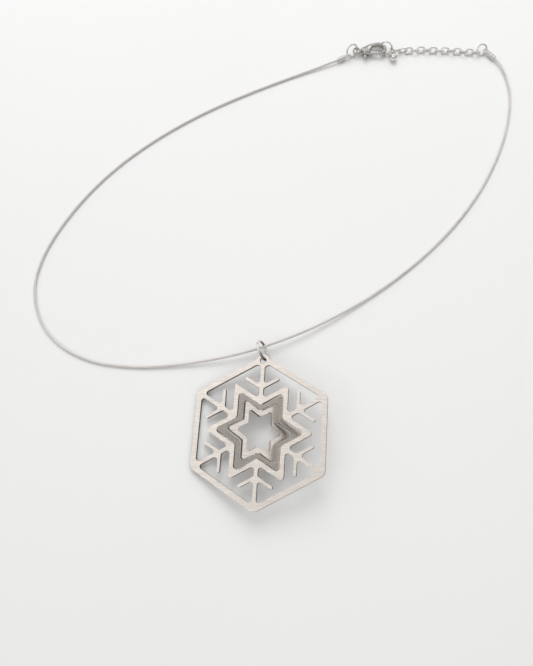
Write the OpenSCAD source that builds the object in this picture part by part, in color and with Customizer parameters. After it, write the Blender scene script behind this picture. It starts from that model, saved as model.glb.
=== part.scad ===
/* [Plate] */
// Width of the hexagonal plate across its flats
plate_w = 40; // [36:1:48]
// Thickness of the sheet metal
plate_t = 1.2; // [1.0:0.1:1.4]
// Width of the hexagon's bars
frame_w = 1.6; // [1.2:0.1:2.0]
// Rounding of the hexagon's outer corners
frame_round = 2.4; // [1.5:0.1:3.0]
// Width of the six spokes
spoke_w = 1.15; // [0.9:0.05:1.4]
// Width of the twelve side branches
branch_w = 0.9; // [0.7:0.05:1.1]
// Distance from the centre at which the branches leave their spoke
branch_r = 13.1; // [12:0.1:14]
// Length of a branch, to the centre of its round end
branch_len = 5.45; // [4.5:0.05:6.0]
// Fillet in the sharp inner corners
fillet_r = 0.85; // [0.5:0.05:0.9]

/* [Star] */
// Inner radius of the large star's outline
star_out = 8.2; // [8.0:0.05:8.4]
// Rounding of the large star's one sharp tip, at the upper left
sharp_tip = 0.15; // [0.1:0.05:0.8]
// Inner radius of the large star's opening
star_in = 6.88; // [6.8:0.02:6.96]
// Inner radius of the middle star ring's outline
mid_out = 6.55; // [6.45:0.05:6.6]
// Inner radius of the middle star ring's opening
mid_in = 5.4; // [5.35:0.05:5.5]
// Inner radius of the inner star ring's outline
inner_out = 5.07; // [4.95:0.02:5.11]
// Inner radius of the inner star ring's opening
inner_in = 3.75; // [3.4:0.05:4.0]
// Angle by which the middle star ring is turned out of the plate
mid_turn = 18; // [10:1:24]
// Angle by which the inner star ring is turned out of the plate
inner_turn = 34.5; // [28:0.5:40]
// Width of the bridges that carry the two star rings
bridge_w = 1.1; // [0.9:0.1:1.4]

/* [Hanging ring] */
// Diameter of the hole in the plate
hole_d = 2.1; // [2.0:0.05:2.2]
// Radius of the eye around the hole
eye_r = 1.9; // [1.8:0.05:2.2]
// Outer diameter of the ring in the hole
ring_d = 7.4; // [7.2:0.05:7.4]
// Wire thickness of the ring in the hole
ring_wire = 0.8; // [0.6:0.05:0.85]

/* [Neck wire and fittings] */
// Diameter of the neck wire
wire_d = 0.8; // [0.6:0.05:0.85]
// Diameter of the crimped end caps
cap_d = 1.8; // [1.5:0.1:1.8]
// Length of a crimped end cap
cap_len = 3.2; // [3.1:0.1:3.3]
// Wire thickness of the small rings
small_wire = 0.6; // [0.4:0.05:0.6]
// Diameter of the chain, over its links
chain_d = 2; // [1.6:0.1:2.0]
// Thickness of the clasp over its cheeks
clasp_t = 2.9; // [2.6:0.1:2.9]
// Angle of the clasp's lever, 0 when shut
lever_angle = 0; // [0:1:28]

/* [Hidden] */
$fn = 48;

// The plate lies on its left bar's lower edge and on the inner star's lowest tip
star_tip = 2 * inner_out - 0.6;
tip_x = star_tip * cos(inner_turn) - plate_t / 2 * sin(inner_turn);
tip_z = star_tip * sin(inner_turn) + plate_t / 2 * cos(inner_turn);
plate_tilt = atan((tip_z - plate_t / 2) / (tip_x + plate_w / 2));
plate_z = plate_w / 2 * sin(plate_tilt) + plate_t / 2 * cos(plate_tilt);
plate_at = [-3, -81, plate_z];
hole_y = plate_w / 2 / cos(30) - 1.6;

steel = [0.80, 0.79, 0.76];
bright = [0.86, 0.86, 0.85];
grey = [0.66, 0.66, 0.65];

// End caps: mouth where the wire goes in, heading from the mouth to the loop, roll of the loop
cap_left = [16.42, 55.54, 0.95];
cap_left_turn = 33;
cap_left_roll = -38.7;
cap_right = [73.4, 60.1, 0.95];
cap_right_turn = 134;
cap_right_roll = 12.6;

// Route of the neck wire, from just outside the left end cap to the right one
//        x      y      z
route = [
    [  13.7,   54.2,  0.93],
    [   7.4,   51.1,  0.60],
    [  -3.3,   45.8,  0.40],
    [ -17.4,   38.2,  0.40],
    [ -31.0,   29.8,  0.40],
    [ -43.8,   20.2,  0.40],
    [ -54.8,   10.0,  0.40],
    [ -63.8,   -0.7,  0.40],
    [ -70.8,  -11.7,  0.40],
    [ -75.5,  -21.6,  0.40],
    [ -78.1,  -30.2,  0.40],
    [ -78.7,  -38.2,  0.40],
    [ -76.9,  -45.9,  0.40],
    [ -72.8,  -52.8,  0.40],
    [ -65.9,  -58.5,  0.40],
    [ -55.6,  -62.3,  0.40],
    [ -42.7,  -63.1,  0.45],
    [ -29.8,  -61.6,  0.75],
    [ -19.0,  -59.4,  1.40],
    [ -10.4,  -57.0,  1.95],
    [  -2.6,  -54.1,  2.15],
    [   5.3,  -50.5,  1.95],
    [  14.1,  -45.7,  1.40],
    [  25.1,  -38.6,  0.75],
    [  37.0,  -29.4,  0.45],
    [  47.9,  -19.1,  0.40],
    [  57.7,   -7.7,  0.40],
    [  66.0,    4.8,  0.40],
    [  72.1,   17.3,  0.40],
    [  76.0,   28.7,  0.40],
    [  78.0,   38.5,  0.40],
    [  78.4,   45.5,  0.40],
    [  77.6,   51.4,  0.50],
    [  76.2,   55.7,  0.80],
    [  74.8,   58.4,  0.93]
];
function along(a, d) = d * [cos(a), sin(a), 0];
wire_route = concat([cap_left + along(cap_left_turn, 2.4), cap_left], route,
                    [cap_right, cap_right + along(cap_right_turn, 2.4)]);

// Route of the extension chain, from the drop's ring to the right end cap's ring
//        x      y      z
chain_route = [
    [  37.4,   60.9,  1.45],
    [  39.2,   61.4,  1.15],
    [  42.5,   61.8,  1.05],
    [  48.0,   62.2,  1.05],
    [  54.0,   62.4,  1.05],
    [  60.0,   62.4,  1.05],
    [  66.2,   62.4,  1.05]
];

// Pose of each small ring: centre, lean from the horizontal, heading
//                 x      y      z    lean heading
ring_pose =     [-3.484, -56.048, 3.526, 65.5, 111.5];
clasp_ring_at = [21.342, 59.068, 2.226, 62.2, 32.4];
drop_ring_at =  [33.620, 61.000, 2.236, 61.1, -23.0];
chain_ring_at = [68.708, 63.129, 1.662, 47.2, 20.7];

// Clasp: centre of its eye, height of its middle plane, heading
clasp_at = [23.13, 59.67, 1.5];
clasp_turn = 8;
pivot = [3.3, -0.8];
pin_r = 0.36;
hook_c = [8.2, 0.1];
hook_r = 2.0;
back_r = 9.0;
back_turn = 35.3;
jaw_r = 0.8;
lever_t = 0.95;

// ---- helpers ----

// Smooth curve through the points q, k rings for each stretch
function catmull(a, b, c, d, t) =
    0.5 * ((2 * b) + (c - a) * t + (2 * a - 5 * b + 4 * c - d) * t * t
    + (3 * b - a - 3 * c + d) * t * t * t);
function smooth(q, k) = concat(
    [for (i = [0:len(q) - 2], j = [0:k - 1])
        catmull(q[max(i - 1, 0)], q[i], q[i + 1], q[min(i + 2, len(q) - 1)], j / k)],
    [q[len(q) - 1]]);
function unit(v) = v / norm(v);

// Tube of radius r along the points p, its rings kept upright
module tube(p, r, sides = 8) {
    n = len(p);
    rings = [for (i = [0:n - 1])
        let (t = unit(p[min(i + 1, n - 1)] - p[max(i - 1, 0)]),
             s = unit(cross(t, [0, 0, 1])), u = cross(s, t))
        for (j = [0:sides - 1])
            p[i] + r * (cos(360 * j / sides) * s + sin(360 * j / sides) * u)];
    skin = [for (i = [0:n - 2], j = [0:sides - 1])
        let (a = i * sides + j, b = i * sides + (j + 1) % sides)
        for (f = [[a, b + sides, a + sides], [a, b, b + sides]]) f];
    polyhedron(rings, concat(skin,
        [[for (j = [sides - 1:-1:0]) j]],
        [[for (j = [0:sides - 1]) (n - 1) * sides + j]]));
}

// Fillet every inner corner of a flat outline, or round every outer one
module fillet2d(r, n = 24) { offset(r = -r, $fn = n) offset(delta = r) children(); }
module round2d(r, n = 24) { offset(r = r, $fn = n) offset(delta = -r) children(); }

// Outline of two round ends, radius r0 at a and r1 at b, with straight flanks
function pill(a, b, r0, r1, n = 12) =
    let (d = norm(b - a), h = atan2(b[1] - a[1], b[0] - a[0]), w = acos((r0 - r1) / d))
    concat([for (i = [0:n]) let (t = h + w + (360 - 2 * w) * i / n) a + r0 * [cos(t), sin(t)]],
           [for (i = [0:n]) let (t = h - w + 2 * w * i / n) b + r1 * [cos(t), sin(t)]]);
module pill2d(a, b, r0, r1) { polygon(pill(a, b, r0, r1)); }

// Hexagram whose edges lie at distance d, tips and notches rounded
module star2d(d, tip, notch) {
    fillet2d(notch) round2d(tip) for (a = [0, 60]) rotate(a) circle(r = 2 * d, $fn = 3);
}
module star_ring(d_out, d_in, tip_out, tip_in, notch_out, notch_in) {
    translate([0, 0, -plate_t / 2]) linear_extrude(plate_t) difference() {
        star2d(d_out, tip_out, notch_out);
        star2d(d_in, tip_in, notch_in);
    }
}

module wire_ring(mean_r, wire) {
    rotate_extrude($fn = 64) translate([mean_r, 0]) circle(d = wire, $fn = 24);
}
module posed_ring(at, mean_r, wire) {
    translate([at[0], at[1], at[2]]) rotate([at[3], 0, at[4]]) wire_ring(mean_r, wire);
}

// ---- snowflake ----

module hexagon2d(w, r) {
    round2d(r, 48) rotate(30) circle(r = w / 2 / cos(30), $fn = 6);
}
module spoke2d() {
    translate([star_out, -spoke_w / 2]) square([plate_w / 2 / cos(30) - 1.4 - star_out, spoke_w]);
    for (s = [-1, 1]) translate([branch_r, 0]) rotate(60 * s)
        pill2d([0, 0], [branch_len, 0], branch_w / 2, branch_w / 2);
}
module frame2d() {
    difference() {
        hexagon2d(plate_w, frame_round);
        rotate(30) circle(r = (plate_w / 2 - frame_w) / cos(30), $fn = 6);
    }
    translate([0, hole_y]) circle(r = eye_r);
}
// The tip of the large star that is sharper than its others
module sharp_tip2d() {
    intersection() {
        star2d(star_out, sharp_tip, 0.9);
        rotate(120) translate([2 * star_out - 1.2, 0]) circle(r = 2);
    }
}
module flake2d() {
    difference() {
        union() {
            // large fillets beside the eye, small ones everywhere else
            intersection() {
                fillet2d(1.2) offset(delta = -0.02) { frame2d(); rotate(90) spoke2d(); }
                translate([0, hole_y]) circle(r = 4.2);
            }
            fillet2d(fillet_r) {
                frame2d();
                star2d(star_out, 0.85, 0.9);
                sharp_tip2d();
                for (a = [30:60:330]) rotate(a) spoke2d();
            }
        }
        star2d(star_in, 0.95, 1.2);
    }
}
// Bridge of a turned star ring: flat in each part, twisted only across the
// gap from g0 to g1, and let into the metal by e at both ends
module bridge(g0, g1, a0, a1, e = 0.35, steps = 4) {
    w = bridge_w / 2;
    h = plate_t / 2 - 0.01;
    rows = concat([[g0 - e, a0]], [for (i = [0:steps]) [g0 + (g1 - g0) * i / steps, a0 + (a1 - a0) * i / steps]],
                  [[g1 + e, a1]]);
    rings = [for (r = rows) for (c = [[-w, -h], [w, -h], [w, h], [-w, h]])
        [c[0] * cos(r[1]) + c[1] * sin(r[1]), r[0], -c[0] * sin(r[1]) + c[1] * cos(r[1])]];
    skin = [for (i = [0:steps + 1], j = [0:3]) let (p = i * 4 + j, q = i * 4 + (j + 1) % 4)
        for (f = [[p, q + 4, p + 4], [p, q, q + 4]]) f];
    n = (steps + 2) * 4;
    polyhedron(rings, concat(skin, [[3, 2, 1, 0]], [[n, n + 1, n + 2, n + 3]]));
}
// Distance from the centre to a star's rounded notch, and to where it is as wide as the bridge
function notch(d, r) = d / cos(30) + r * (1 / sin(60) - 1);
function notch_flank(d, r) = notch(d, r) + r - sqrt(r * r - bridge_w * bridge_w / 4);
module snowflake() {
    color(steel) translate(plate_at) rotate([0, -plate_tilt, 0]) {
        difference() {
            union() {
                translate([0, 0, -plate_t / 2]) linear_extrude(plate_t) flake2d();
                rotate([0, mid_turn, 0]) star_ring(mid_out, mid_in, 0.65, 0.9, 1.1, 1.1);
                rotate([0, inner_turn, 0]) star_ring(inner_out, inner_in, 0.6, 0.7, 0.9, 0.9);
                for (m = [0, 1]) mirror([0, m, 0]) {
                    bridge(notch_flank(inner_out, 0.9) + 0.02, notch(mid_in, 1.1) - 0.02, inner_turn, mid_turn);
                    bridge(notch_flank(mid_out, 1.1) + 0.02, notch(star_in, 1.2) - 0.02, mid_turn, 0);
                }
            }
            translate([0, hole_y, -plate_t]) cylinder(d = hole_d, h = 2 * plate_t);
        }
    }
}

// ---- hanging ring, neck wire and its end caps ----

module pendant_ring() {
    color(bright) posed_ring(ring_pose, (ring_d - ring_wire) / 2, ring_wire);
}
module neck_wire() {
    color(grey) tube(smooth(wire_route, 2), wire_d / 2);
}
// Crimped tube with a bore for the wire and a loop on its far end
module end_cap(at, heading, roll) {
    r = cap_d / 2;
    translate(at) rotate([0, 0, heading]) difference() {
        union() {
            rotate([0, 90, 0]) rotate_extrude() polygon([[0, 0], [r - 0.15, 0], [r, 0.15],
                [r, cap_len - 0.3], [r - 0.3, cap_len], [0, cap_len]]);
            translate([4.15, 0, 0]) rotate([roll, 0, 0]) wire_ring(1, 0.5);
        }
        translate([-1, 0, 0]) rotate([0, 90, 0]) cylinder(d = wire_d + 0.2, h = 3.55);
    }
}
module end_cap_left() {
    color(bright) end_cap(cap_left, cap_left_turn, cap_left_roll);
}
module end_cap_right() {
    color(bright) end_cap(cap_right, cap_right_turn, cap_right_roll);
}

// ---- clasp ----

module clasp_ring() {
    color(bright) posed_ring(clasp_ring_at, 2.15, small_wire);
}
// Flat outline of the lever, grown by g: hub, arm and thumb tab
module lever2d(g = 0) {
    translate(pivot) circle(r = 1.1 + g);
    pill2d(pivot + [0.4, 0.05], [7.3, -1.65], 0.85 + g, 0.5 + g);
    pill2d(pivot + [-0.15, -0.4], [2.75, -2.7], 0.65 + g, 0.5 + g);
}
module cheek2d() {
    pill2d([2.4, -0.1], pivot, 1.1, 1.5);
    pill2d([2.4, -0.1], [4.9, 0.9], 1.1, 0.85);
    pill2d(pivot, [4.9, 0.9], 1.5, 0.85);
}
module clasp_place() {
    translate(clasp_at) rotate([0, 0, clasp_turn]) children();
}
module clasp_body() {
    color(bright) clasp_place() {
        difference() {
            union() {
                translate([0, 0, -0.5]) cylinder(r = 1.5, h = 1);
                translate([1.0, -0.7, -0.5]) cube([1.4, 1.4, 1]);
                translate([0, 0, -clasp_t / 2]) linear_extrude(clasp_t) cheek2d();
                // fixed jaw: long back arc, then the hook, then its round tip
                translate([hook_c[0], hook_c[1] + hook_r - back_r, 0]) rotate([0, 0, 90])
                    rotate_extrude(angle = back_turn) translate([back_r, 0]) circle(r = jaw_r, $fn = 32);
                translate(hook_c) rotate([0, 0, -75])
                    rotate_extrude(angle = 165) translate([hook_r, 0]) circle(r = jaw_r, $fn = 32);
                translate(hook_c) rotate([0, 0, -75]) translate([hook_r, 0, 0]) sphere(r = jaw_r, $fn = 32);
            }
            translate([0, 0, -2]) cylinder(r = 0.85, h = 4);
            // slot for the lever, as wide as it swings
            translate([0, 0, -lever_t / 2 - 0.1]) linear_extrude(lever_t + 0.2)
                for (a = [0, 14, 28]) translate(pivot) rotate(a) translate(-pivot) lever2d(0.15);
        }
        translate([pivot[0], pivot[1], -clasp_t / 2]) cylinder(r = pin_r, h = clasp_t);
    }
}
module clasp_lever() {
    color(steel) clasp_place() translate(pivot) rotate([0, 0, lever_angle]) translate(-pivot)
        difference() {
            translate([0, 0, -lever_t / 2]) linear_extrude(lever_t) lever2d();
            translate([pivot[0], pivot[1], -1]) cylinder(r = pin_r + 0.05, h = 2);
        }
}

// ---- drop and extension chain ----

module drop_ring() {
    color(bright) posed_ring(drop_ring_at, 2.2, small_wire);
}
drop_at = [35.267, 59.776, 1.15];
drop_turn = -54.6;
drop_roll = -52;
module chain_drop() {
    color(bright) translate(drop_at) rotate([0, 0, drop_turn]) {
        rotate([drop_roll, 0, 0]) wire_ring(0.8, 0.5);
        translate([2.3, 0, 1.4 - drop_at[2]]) sphere(r = 1.35);
        translate([0.9, 0, 0]) rotate([0, 90, 0]) cylinder(r1 = 0.3, r2 = 0.9, h = 1.1);
    }
}
module extension_chain() {
    color(bright) tube(smooth(chain_route, 3), chain_d / 2);
}
module chain_ring() {
    color(bright) posed_ring(chain_ring_at, 1.8, small_wire);
}

snowflake();
pendant_ring();
neck_wire();
end_cap_left();
end_cap_right();
clasp_ring();
clasp_body();
clasp_lever();
drop_ring();
chain_drop();
extension_chain();
chain_ring();
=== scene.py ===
"""Looks of a snowflake pendant on a fine steel neck cable, lying on a pale floor."""

import math

import bmesh
import bpy
import numpy as np
from mathutils import Matrix, Vector


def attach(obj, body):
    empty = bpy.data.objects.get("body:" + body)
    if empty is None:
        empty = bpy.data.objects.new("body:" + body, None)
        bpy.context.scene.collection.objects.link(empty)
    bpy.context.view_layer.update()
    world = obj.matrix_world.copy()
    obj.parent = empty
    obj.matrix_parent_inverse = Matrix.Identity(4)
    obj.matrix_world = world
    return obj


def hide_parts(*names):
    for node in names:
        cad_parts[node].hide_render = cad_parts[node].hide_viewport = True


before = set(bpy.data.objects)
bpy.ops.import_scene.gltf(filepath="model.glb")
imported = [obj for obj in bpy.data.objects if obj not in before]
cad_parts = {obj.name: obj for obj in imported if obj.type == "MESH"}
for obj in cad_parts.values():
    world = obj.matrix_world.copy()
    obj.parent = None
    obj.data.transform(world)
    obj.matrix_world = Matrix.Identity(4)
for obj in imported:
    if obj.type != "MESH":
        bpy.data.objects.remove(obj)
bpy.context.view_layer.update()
scene = bpy.context.scene
MM = 0.001

# ------------------------------------------------------------------ camera
cam_data = bpy.data.cameras.new("camera")
cam_data.lens = 32.43
cam_data.sensor_width = 36.0
cam_data.clip_start = 0.01
cam_data.clip_end = 20.0
camera = bpy.data.objects.new("camera", cam_data)
scene.collection.objects.link(camera)
CAM_AT = Vector((0.000794, -0.103311, 0.182314))
cam_x = Vector((0.99789, 0.064928, -0.000576))
cam_y = Vector((-0.062075, 0.956574, 0.284803))
cam_z = Vector((0.019043, -0.284167, 0.958586))
turn = Matrix((cam_x, cam_y, cam_z)).transposed()
camera.matrix_world = Matrix.Translation(CAM_AT) @ turn.to_4x4()
scene.camera = camera


# ------------------------------------------------------------------ mesh helpers
def rot(axis, degrees):
    """3x3 turn about x, y or z."""
    a = math.radians(degrees)
    c, s = math.cos(a), math.sin(a)
    return np.array({
        "x": [[1, 0, 0], [0, c, -s], [0, s, c]],
        "y": [[c, 0, s], [0, 1, 0], [-s, 0, c]],
        "z": [[c, -s, 0], [s, c, 0], [0, 0, 1]],
    }[axis], float)


def unit(v):
    return v / np.maximum(np.linalg.norm(v, axis=-1, keepdims=True), 1e-12)


def mesh_from(name, verts, faces, smooth=True):
    me = bpy.data.meshes.new(name)
    me.from_pydata(np.asarray(verts, float).tolist(), [], [list(f) for f in faces])
    me.update()
    me.polygons.foreach_set("use_smooth", [smooth] * len(me.polygons))
    return me


def add_object(name, me):
    o = bpy.data.objects.new(name, me)
    scene.collection.objects.link(o)
    return o


def piece(name, verts, faces, material, body="necklace", stands_for=None, smooth=True):
    """A finished piece from vertices in millimetres."""
    me = mesh_from(name, np.asarray(verts, float) * MM, faces, smooth)
    o = add_object(name, me)
    me.materials.append(material)
    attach(o, body)
    if stands_for:
        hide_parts(stands_for)
    return o


def carried(p, closed=False):
    """Tangents and two side vectors along the points p, with no twist of their own."""
    p = np.asarray(p, float)
    n = len(p)
    if closed:
        t = unit(np.roll(p, -1, 0) - np.roll(p, 1, 0))
    else:
        t = unit(np.vstack([p[1] - p[0], p[2:] - p[:-2], p[-1] - p[-2]]))
    up = np.array([0.0, 0.0, 1.0]) if abs(t[0][2]) < 0.9 else np.array([1.0, 0.0, 0.0])
    s = np.zeros_like(p)
    s[0] = unit(np.cross(t[0], up))
    for i in range(1, n):
        v = s[i - 1] - t[i] * (s[i - 1] @ t[i])
        s[i] = unit(v)
    if closed:
        v = s[-1] - t[0] * (s[-1] @ t[0])
        v = unit(v)
        off = math.atan2(np.cross(v, s[0]) @ t[0], v @ s[0])
        for i in range(n):
            a = off * i / n
            s[i] = s[i] * math.cos(a) + np.cross(t[i], s[i]) * math.sin(a)
    return t, s, np.cross(t, s)


def sweep(p, section, closed=False, twist=None, grow=None):
    """Skin of a section (k x 2) carried along p. twist: angle at each point; grow: factor at each point."""
    p = np.asarray(p, float)
    sec = np.asarray(section, float)
    n, k = len(p), len(sec)
    t, s, u = carried(p, closed)
    tw = np.zeros(n) if twist is None else np.asarray(twist, float)
    g = np.ones(n) if grow is None else np.asarray(grow, float)
    c, d = np.cos(tw)[:, None], np.sin(tw)[:, None]
    a = (sec[:, 0] * c - sec[:, 1] * d) * g[:, None]
    b = (sec[:, 0] * d + sec[:, 1] * c) * g[:, None]
    v = p[:, None, :] + a[:, :, None] * s[:, None, :] + b[:, :, None] * u[:, None, :]
    faces = []
    rows = n if closed else n - 1
    for i in range(rows):
        i2 = (i + 1) % n
        for j in range(k):
            j2 = (j + 1) % k
            faces.append((i * k + j, i * k + j2, i2 * k + j2, i2 * k + j))
    if not closed:
        faces.append(tuple(range(k - 1, -1, -1)))
        faces.append(tuple((n - 1) * k + j for j in range(k)))
    return v.reshape(-1, 3), faces


def disc(r, k=16, squash=1.0):
    a = np.linspace(0, 2 * np.pi, k, endpoint=False)
    return np.c_[r * np.cos(a), r * squash * np.sin(a)]


def lathe(profile, k=40, across=1.0):
    """Closed skin of a profile [(along x, radius), ...] turned about the x axis; it starts and ends on the axis."""
    prof = np.asarray(profile, float)
    a = np.linspace(0, 2 * np.pi, k, endpoint=False)
    inner = prof[1:-1]
    v = [[prof[0][0], 0, 0]]
    for x, r in inner:
        v += np.c_[np.full(k, x), r * np.cos(a), r * across * np.sin(a)].tolist()
    v.append([prof[-1][0], 0, 0])
    faces = [(0, 1 + (j + 1) % k, 1 + j) for j in range(k)]
    for i in range(len(inner) - 1):
        b = 1 + i * k
        for j in range(k):
            j2 = (j + 1) % k
            faces.append((b + j, b + j2, b + k + j2, b + k + j))
    last, b = len(v) - 1, 1 + (len(inner) - 1) * k
    faces += [(last, b + j, b + (j + 1) % k) for j in range(k)]
    return np.array(v), faces


def joined(parts):
    """Several (verts, faces) as one."""
    v, f, n = [], [], 0
    for pv, pf in parts:
        v.append(np.asarray(pv, float))
        f += [tuple(i + n for i in face) for face in pf]
        n += len(pv)
    return np.vstack(v), f


def without_collapsed(verts, faces):
    """The faces without repeated points and without pairs that lie on each other, and which points are still used."""
    at = np.unique(np.round(verts, 4), axis=0, return_inverse=True)[1].ravel()
    kept, count = [], {}
    for face in faces:
        ring = [i for k, i in enumerate(face) if at[i] != at[face[k - 1]]]
        if len(ring) > 2:
            kept.append(ring)
            key = frozenset(at[ring].tolist())
            count[key] = count.get(key, 0) + 1
    kept = [r for r in kept if count[frozenset(at[r].tolist())] == 1]
    used = np.unique(np.concatenate([np.asarray(r) for r in kept]))
    index = np.zeros(len(verts), dtype=int)
    index[used] = np.arange(len(used))
    return [tuple(index[r]) for r in kept], used


def circle_points(r, n, start=0.0, end=2 * math.pi, closed=True):
    a = np.linspace(start, end, n, endpoint=not closed)
    return np.c_[r * np.cos(a), r * np.sin(a), np.zeros(n)]


def ball(at, r, h=None, power=1.0, k=20, rows=10):
    """Ball of radius r and half height h; power under 1 flattens its poles and squares its side."""
    h = r if h is None else h
    v = [[at[0], at[1], at[2] - h]]
    for i in range(1, rows):
        a = -math.pi / 2 + math.pi * i / rows
        rr = r * abs(math.cos(a)) ** power
        zz = h * math.copysign(abs(math.sin(a)) ** power, math.sin(a))
        b = np.linspace(0, 2 * np.pi, k, endpoint=False)
        v += np.c_[at[0] + rr * np.cos(b), at[1] + rr * np.sin(b), np.full(k, at[2] + zz)].tolist()
    v.append([at[0], at[1], at[2] + h])
    f = [(0, 1 + (j + 1) % k, 1 + j) for j in range(k)]
    for i in range(rows - 2):
        c = 1 + i * k
        for j in range(k):
            j2 = (j + 1) % k
            f.append((c + j, c + j2, c + k + j2, c + k + j))
    last, c = len(v) - 1, 1 + (rows - 2) * k
    f += [(last, c + j, c + (j + 1) % k) for j in range(k)]
    return np.array(v), f


def ball_chain(points, radii, heights=None, power=1.0, step=0.12):
    """Balls close together along points, so that their union is a smooth tapered bar."""
    pts, rad = np.asarray(points, float), np.asarray(radii, float)
    hts = rad if heights is None else np.asarray(heights, float)
    seg = np.linalg.norm(np.diff(pts, axis=0), axis=1)
    s = np.r_[0, np.cumsum(seg)]
    m = max(2, int(s[-1] / step) + 1)
    q = np.linspace(0, s[-1], m)
    cols = [np.interp(q, s, pts[:, i]) for i in range(3)]
    return [ball((x, y, z), r, h, power) for x, y, z, r, h in
            zip(*cols, np.interp(q, s, rad), np.interp(q, s, hts))]


def prism(outline, z0, z1):
    o = np.asarray(outline, float)
    k = len(o)
    v = np.vstack([np.c_[o, np.full(k, z0)], np.c_[o, np.full(k, z1)]])
    f = [tuple(range(k - 1, -1, -1)), tuple(range(k, 2 * k))]
    f += [(j, (j + 1) % k, k + (j + 1) % k, k + j) for j in range(k)]
    return v, f


def pill(a, b, r0, r1, n=20):
    """Outline of two round ends with straight flanks."""
    a, b = np.asarray(a, float), np.asarray(b, float)
    d = np.linalg.norm(b - a)
    h = math.atan2(b[1] - a[1], b[0] - a[0])
    w = math.acos((r0 - r1) / d)
    out = [a + r0 * np.array([math.cos(t), math.sin(t)]) for t in np.linspace(h + w, h + 2 * math.pi - w, n)]
    out += [b + r1 * np.array([math.cos(t), math.sin(t)]) for t in np.linspace(h - w, h + w, n)]
    return np.array(out)


def evaluated(o, name):
    """The object's mesh after its modifiers, as (verts, faces); the object is removed."""
    dg = bpy.context.evaluated_depsgraph_get()
    e = o.evaluated_get(dg)
    me = bpy.data.meshes.new_from_object(e)
    bpy.data.objects.remove(o)
    me.name = name
    return me


def fused(parts, voxel, rounds, cuts=(), target=None):
    """One smooth skin round overlapping closed shapes (in millimetres), with the cuts taken out of it."""
    v, f = joined(parts)
    o = add_object("tmp_fuse", mesh_from("tmp_fuse", v, f))
    m = o.modifiers.new("r", "REMESH")
    m.mode = "VOXEL"
    m.voxel_size = voxel
    m.adaptivity = 0.0
    m = o.modifiers.new("s", "SMOOTH")
    m.factor = 0.5
    m.iterations = rounds
    if target:
        m = o.modifiers.new("d", "DECIMATE")
        m.ratio = target
    me = evaluated(o, "tmp_fused")
    for cv, cf in cuts:
        a = add_object("tmp_a", me)
        b = add_object("tmp_b", mesh_from("tmp_b", cv, cf))
        m = a.modifiers.new("b", "BOOLEAN")
        m.operation = "DIFFERENCE"
        m.solver = "EXACT"
        m.object = b
        bpy.context.view_layer.update()
        new = evaluated(a, "tmp_cut")
        bpy.data.objects.remove(b)
        me = new
    if cuts:
        bm = bmesh.new()
        bm.from_mesh(me)
        bmesh.ops.remove_doubles(bm, verts=bm.verts, dist=0.003)
        bmesh.ops.dissolve_degenerate(bm, dist=0.003, edges=bm.edges)
        bmesh.ops.triangulate(bm, faces=[p for p in bm.faces if len(p.verts) > 4])
        bmesh.ops.dissolve_degenerate(bm, dist=0.003, edges=bm.edges)
        bm.to_mesh(me)
        bm.free()
    n = len(me.vertices)
    co = np.zeros(n * 3)
    me.vertices.foreach_get("co", co)
    return co.reshape(-1, 3), [tuple(p.vertices) for p in me.polygons]


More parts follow.
